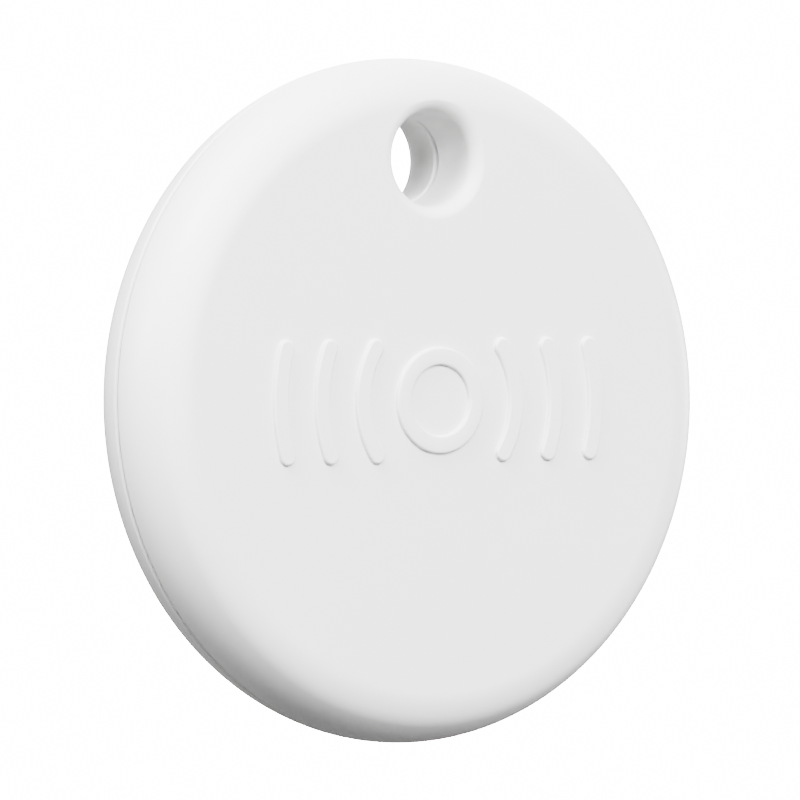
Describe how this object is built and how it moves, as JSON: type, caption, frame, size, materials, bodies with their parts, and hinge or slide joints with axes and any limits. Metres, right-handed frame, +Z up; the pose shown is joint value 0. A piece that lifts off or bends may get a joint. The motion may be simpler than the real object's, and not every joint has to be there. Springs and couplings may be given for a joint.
{
  "type": "bluetooth tracker tag",
  "caption": "Round white plastic tracker tag with a flared key-ring hole, a raised sound-wave symbol, a press-to-click front and a rear cover that lifts off the coin cell.",
  "frame": {"origin": "centre of the key-ring hole, where the two covers meet inside it", "axes": "+Z up from the disc's centre through the hole, +Y out of the rear face, so the front faces -Y; +X to the right as seen from the front"},
  "size_m": [0.0388, 0.0074, 0.0387],
  "materials": {
    "white_plastic": "satin moulded, fine even grain",
    "grey_elastomer": "matte",
    "carrier_plastic": "moulded, fine spark grain",
    "board_laminate": "solder mask",
    "can_steel": "drawn and plated",
    "lid_steel": "drawn and plated, finely pebbled",
    "gasket_plastic": "moulded",
    "cell_pellet": "pressed powder",
    "spring_bronze": "rolled, gold flash",
    "foam": "open-cell foam",
    "adhesive": "double-sided film",
    "sounder_brass": "rolled",
    "sounder_ceramic": "fired and lapped",
    "silvering": "fired silver paste",
    "plated_steel": "tin plated",
    "chip_moulding": "moulded epoxy",
    "ferrite": "pressed ferrite",
    "capacitor_ceramic": "fired ceramic, tinned ends",
    "plunger_plastic": "moulded"
  },
  "bodies": {
    "chassis": {"inner_frame": "carrier_plastic", "circuit_board": "board_laminate", "rim_seal": "grey_elastomer", "hole_seal": "grey_elastomer", "contact_positive": "spring_bronze", "contact_negative": "spring_bronze", "sounder_spring_plate": "spring_bronze", "sounder_spring_ceramic": "spring_bronze", "switch_base": "chip_moulding", "switch_lid": "plated_steel", "radio_chip": "chip_moulding", "crystal": "plated_steel", "inductor": "ferrite", "antenna": "plated_steel", "capacitor_1": "capacitor_ceramic", "capacitor_2": "capacitor_ceramic", "capacitor_3": "capacitor_ceramic", "capacitor_4": "capacitor_ceramic", "resistor_1": "chip_moulding", "resistor_2": "chip_moulding", "resistor_3": "chip_moulding"},
    "front": {"front_cover": "white_plastic", "sounder_adhesive": "adhesive", "sounder_plate": "sounder_brass", "sounder_ceramic": "sounder_ceramic", "sounder_electrode": "silvering", "press_post": "white_plastic"},
    "plunger": {"switch_plunger": "plunger_plastic"},
    "rear": {"rear_cover": "white_plastic", "battery_foam": "foam"},
    "battery": {"battery_can": "can_steel", "battery_lid": "lid_steel", "battery_gasket": "gasket_plastic", "battery_pellet": "cell_pellet"}
  },
  "joints": [
    {"name": "front_press", "type": "slide", "parent": "chassis", "child": "front", "axis": [0, 1, 0], "range_m": [0, 0.00018], "stiffness_N_per_m": 14000},
    {"name": "switch_travel", "type": "slide", "parent": "chassis", "child": "plunger", "axis": [0, 1, 0], "range_m": [0, 0.00018]},
    {"name": "rear_cover_off", "type": "slide", "parent": "chassis", "child": "rear", "axis": [0, 1, 0], "range_m": [0, 0.014]},
    {"name": "battery_out", "type": "slide", "parent": "chassis", "child": "battery", "axis": [0, 1, 0], "range_m": [0, 0.0065]}
  ],
  "couplings": [
    {"joint": "switch_travel", "follows": "front_press", "ratio": 1},
    {"joint": "battery_out", "follows": "rear_cover_off", "ratio": 0.45}
  ]
}
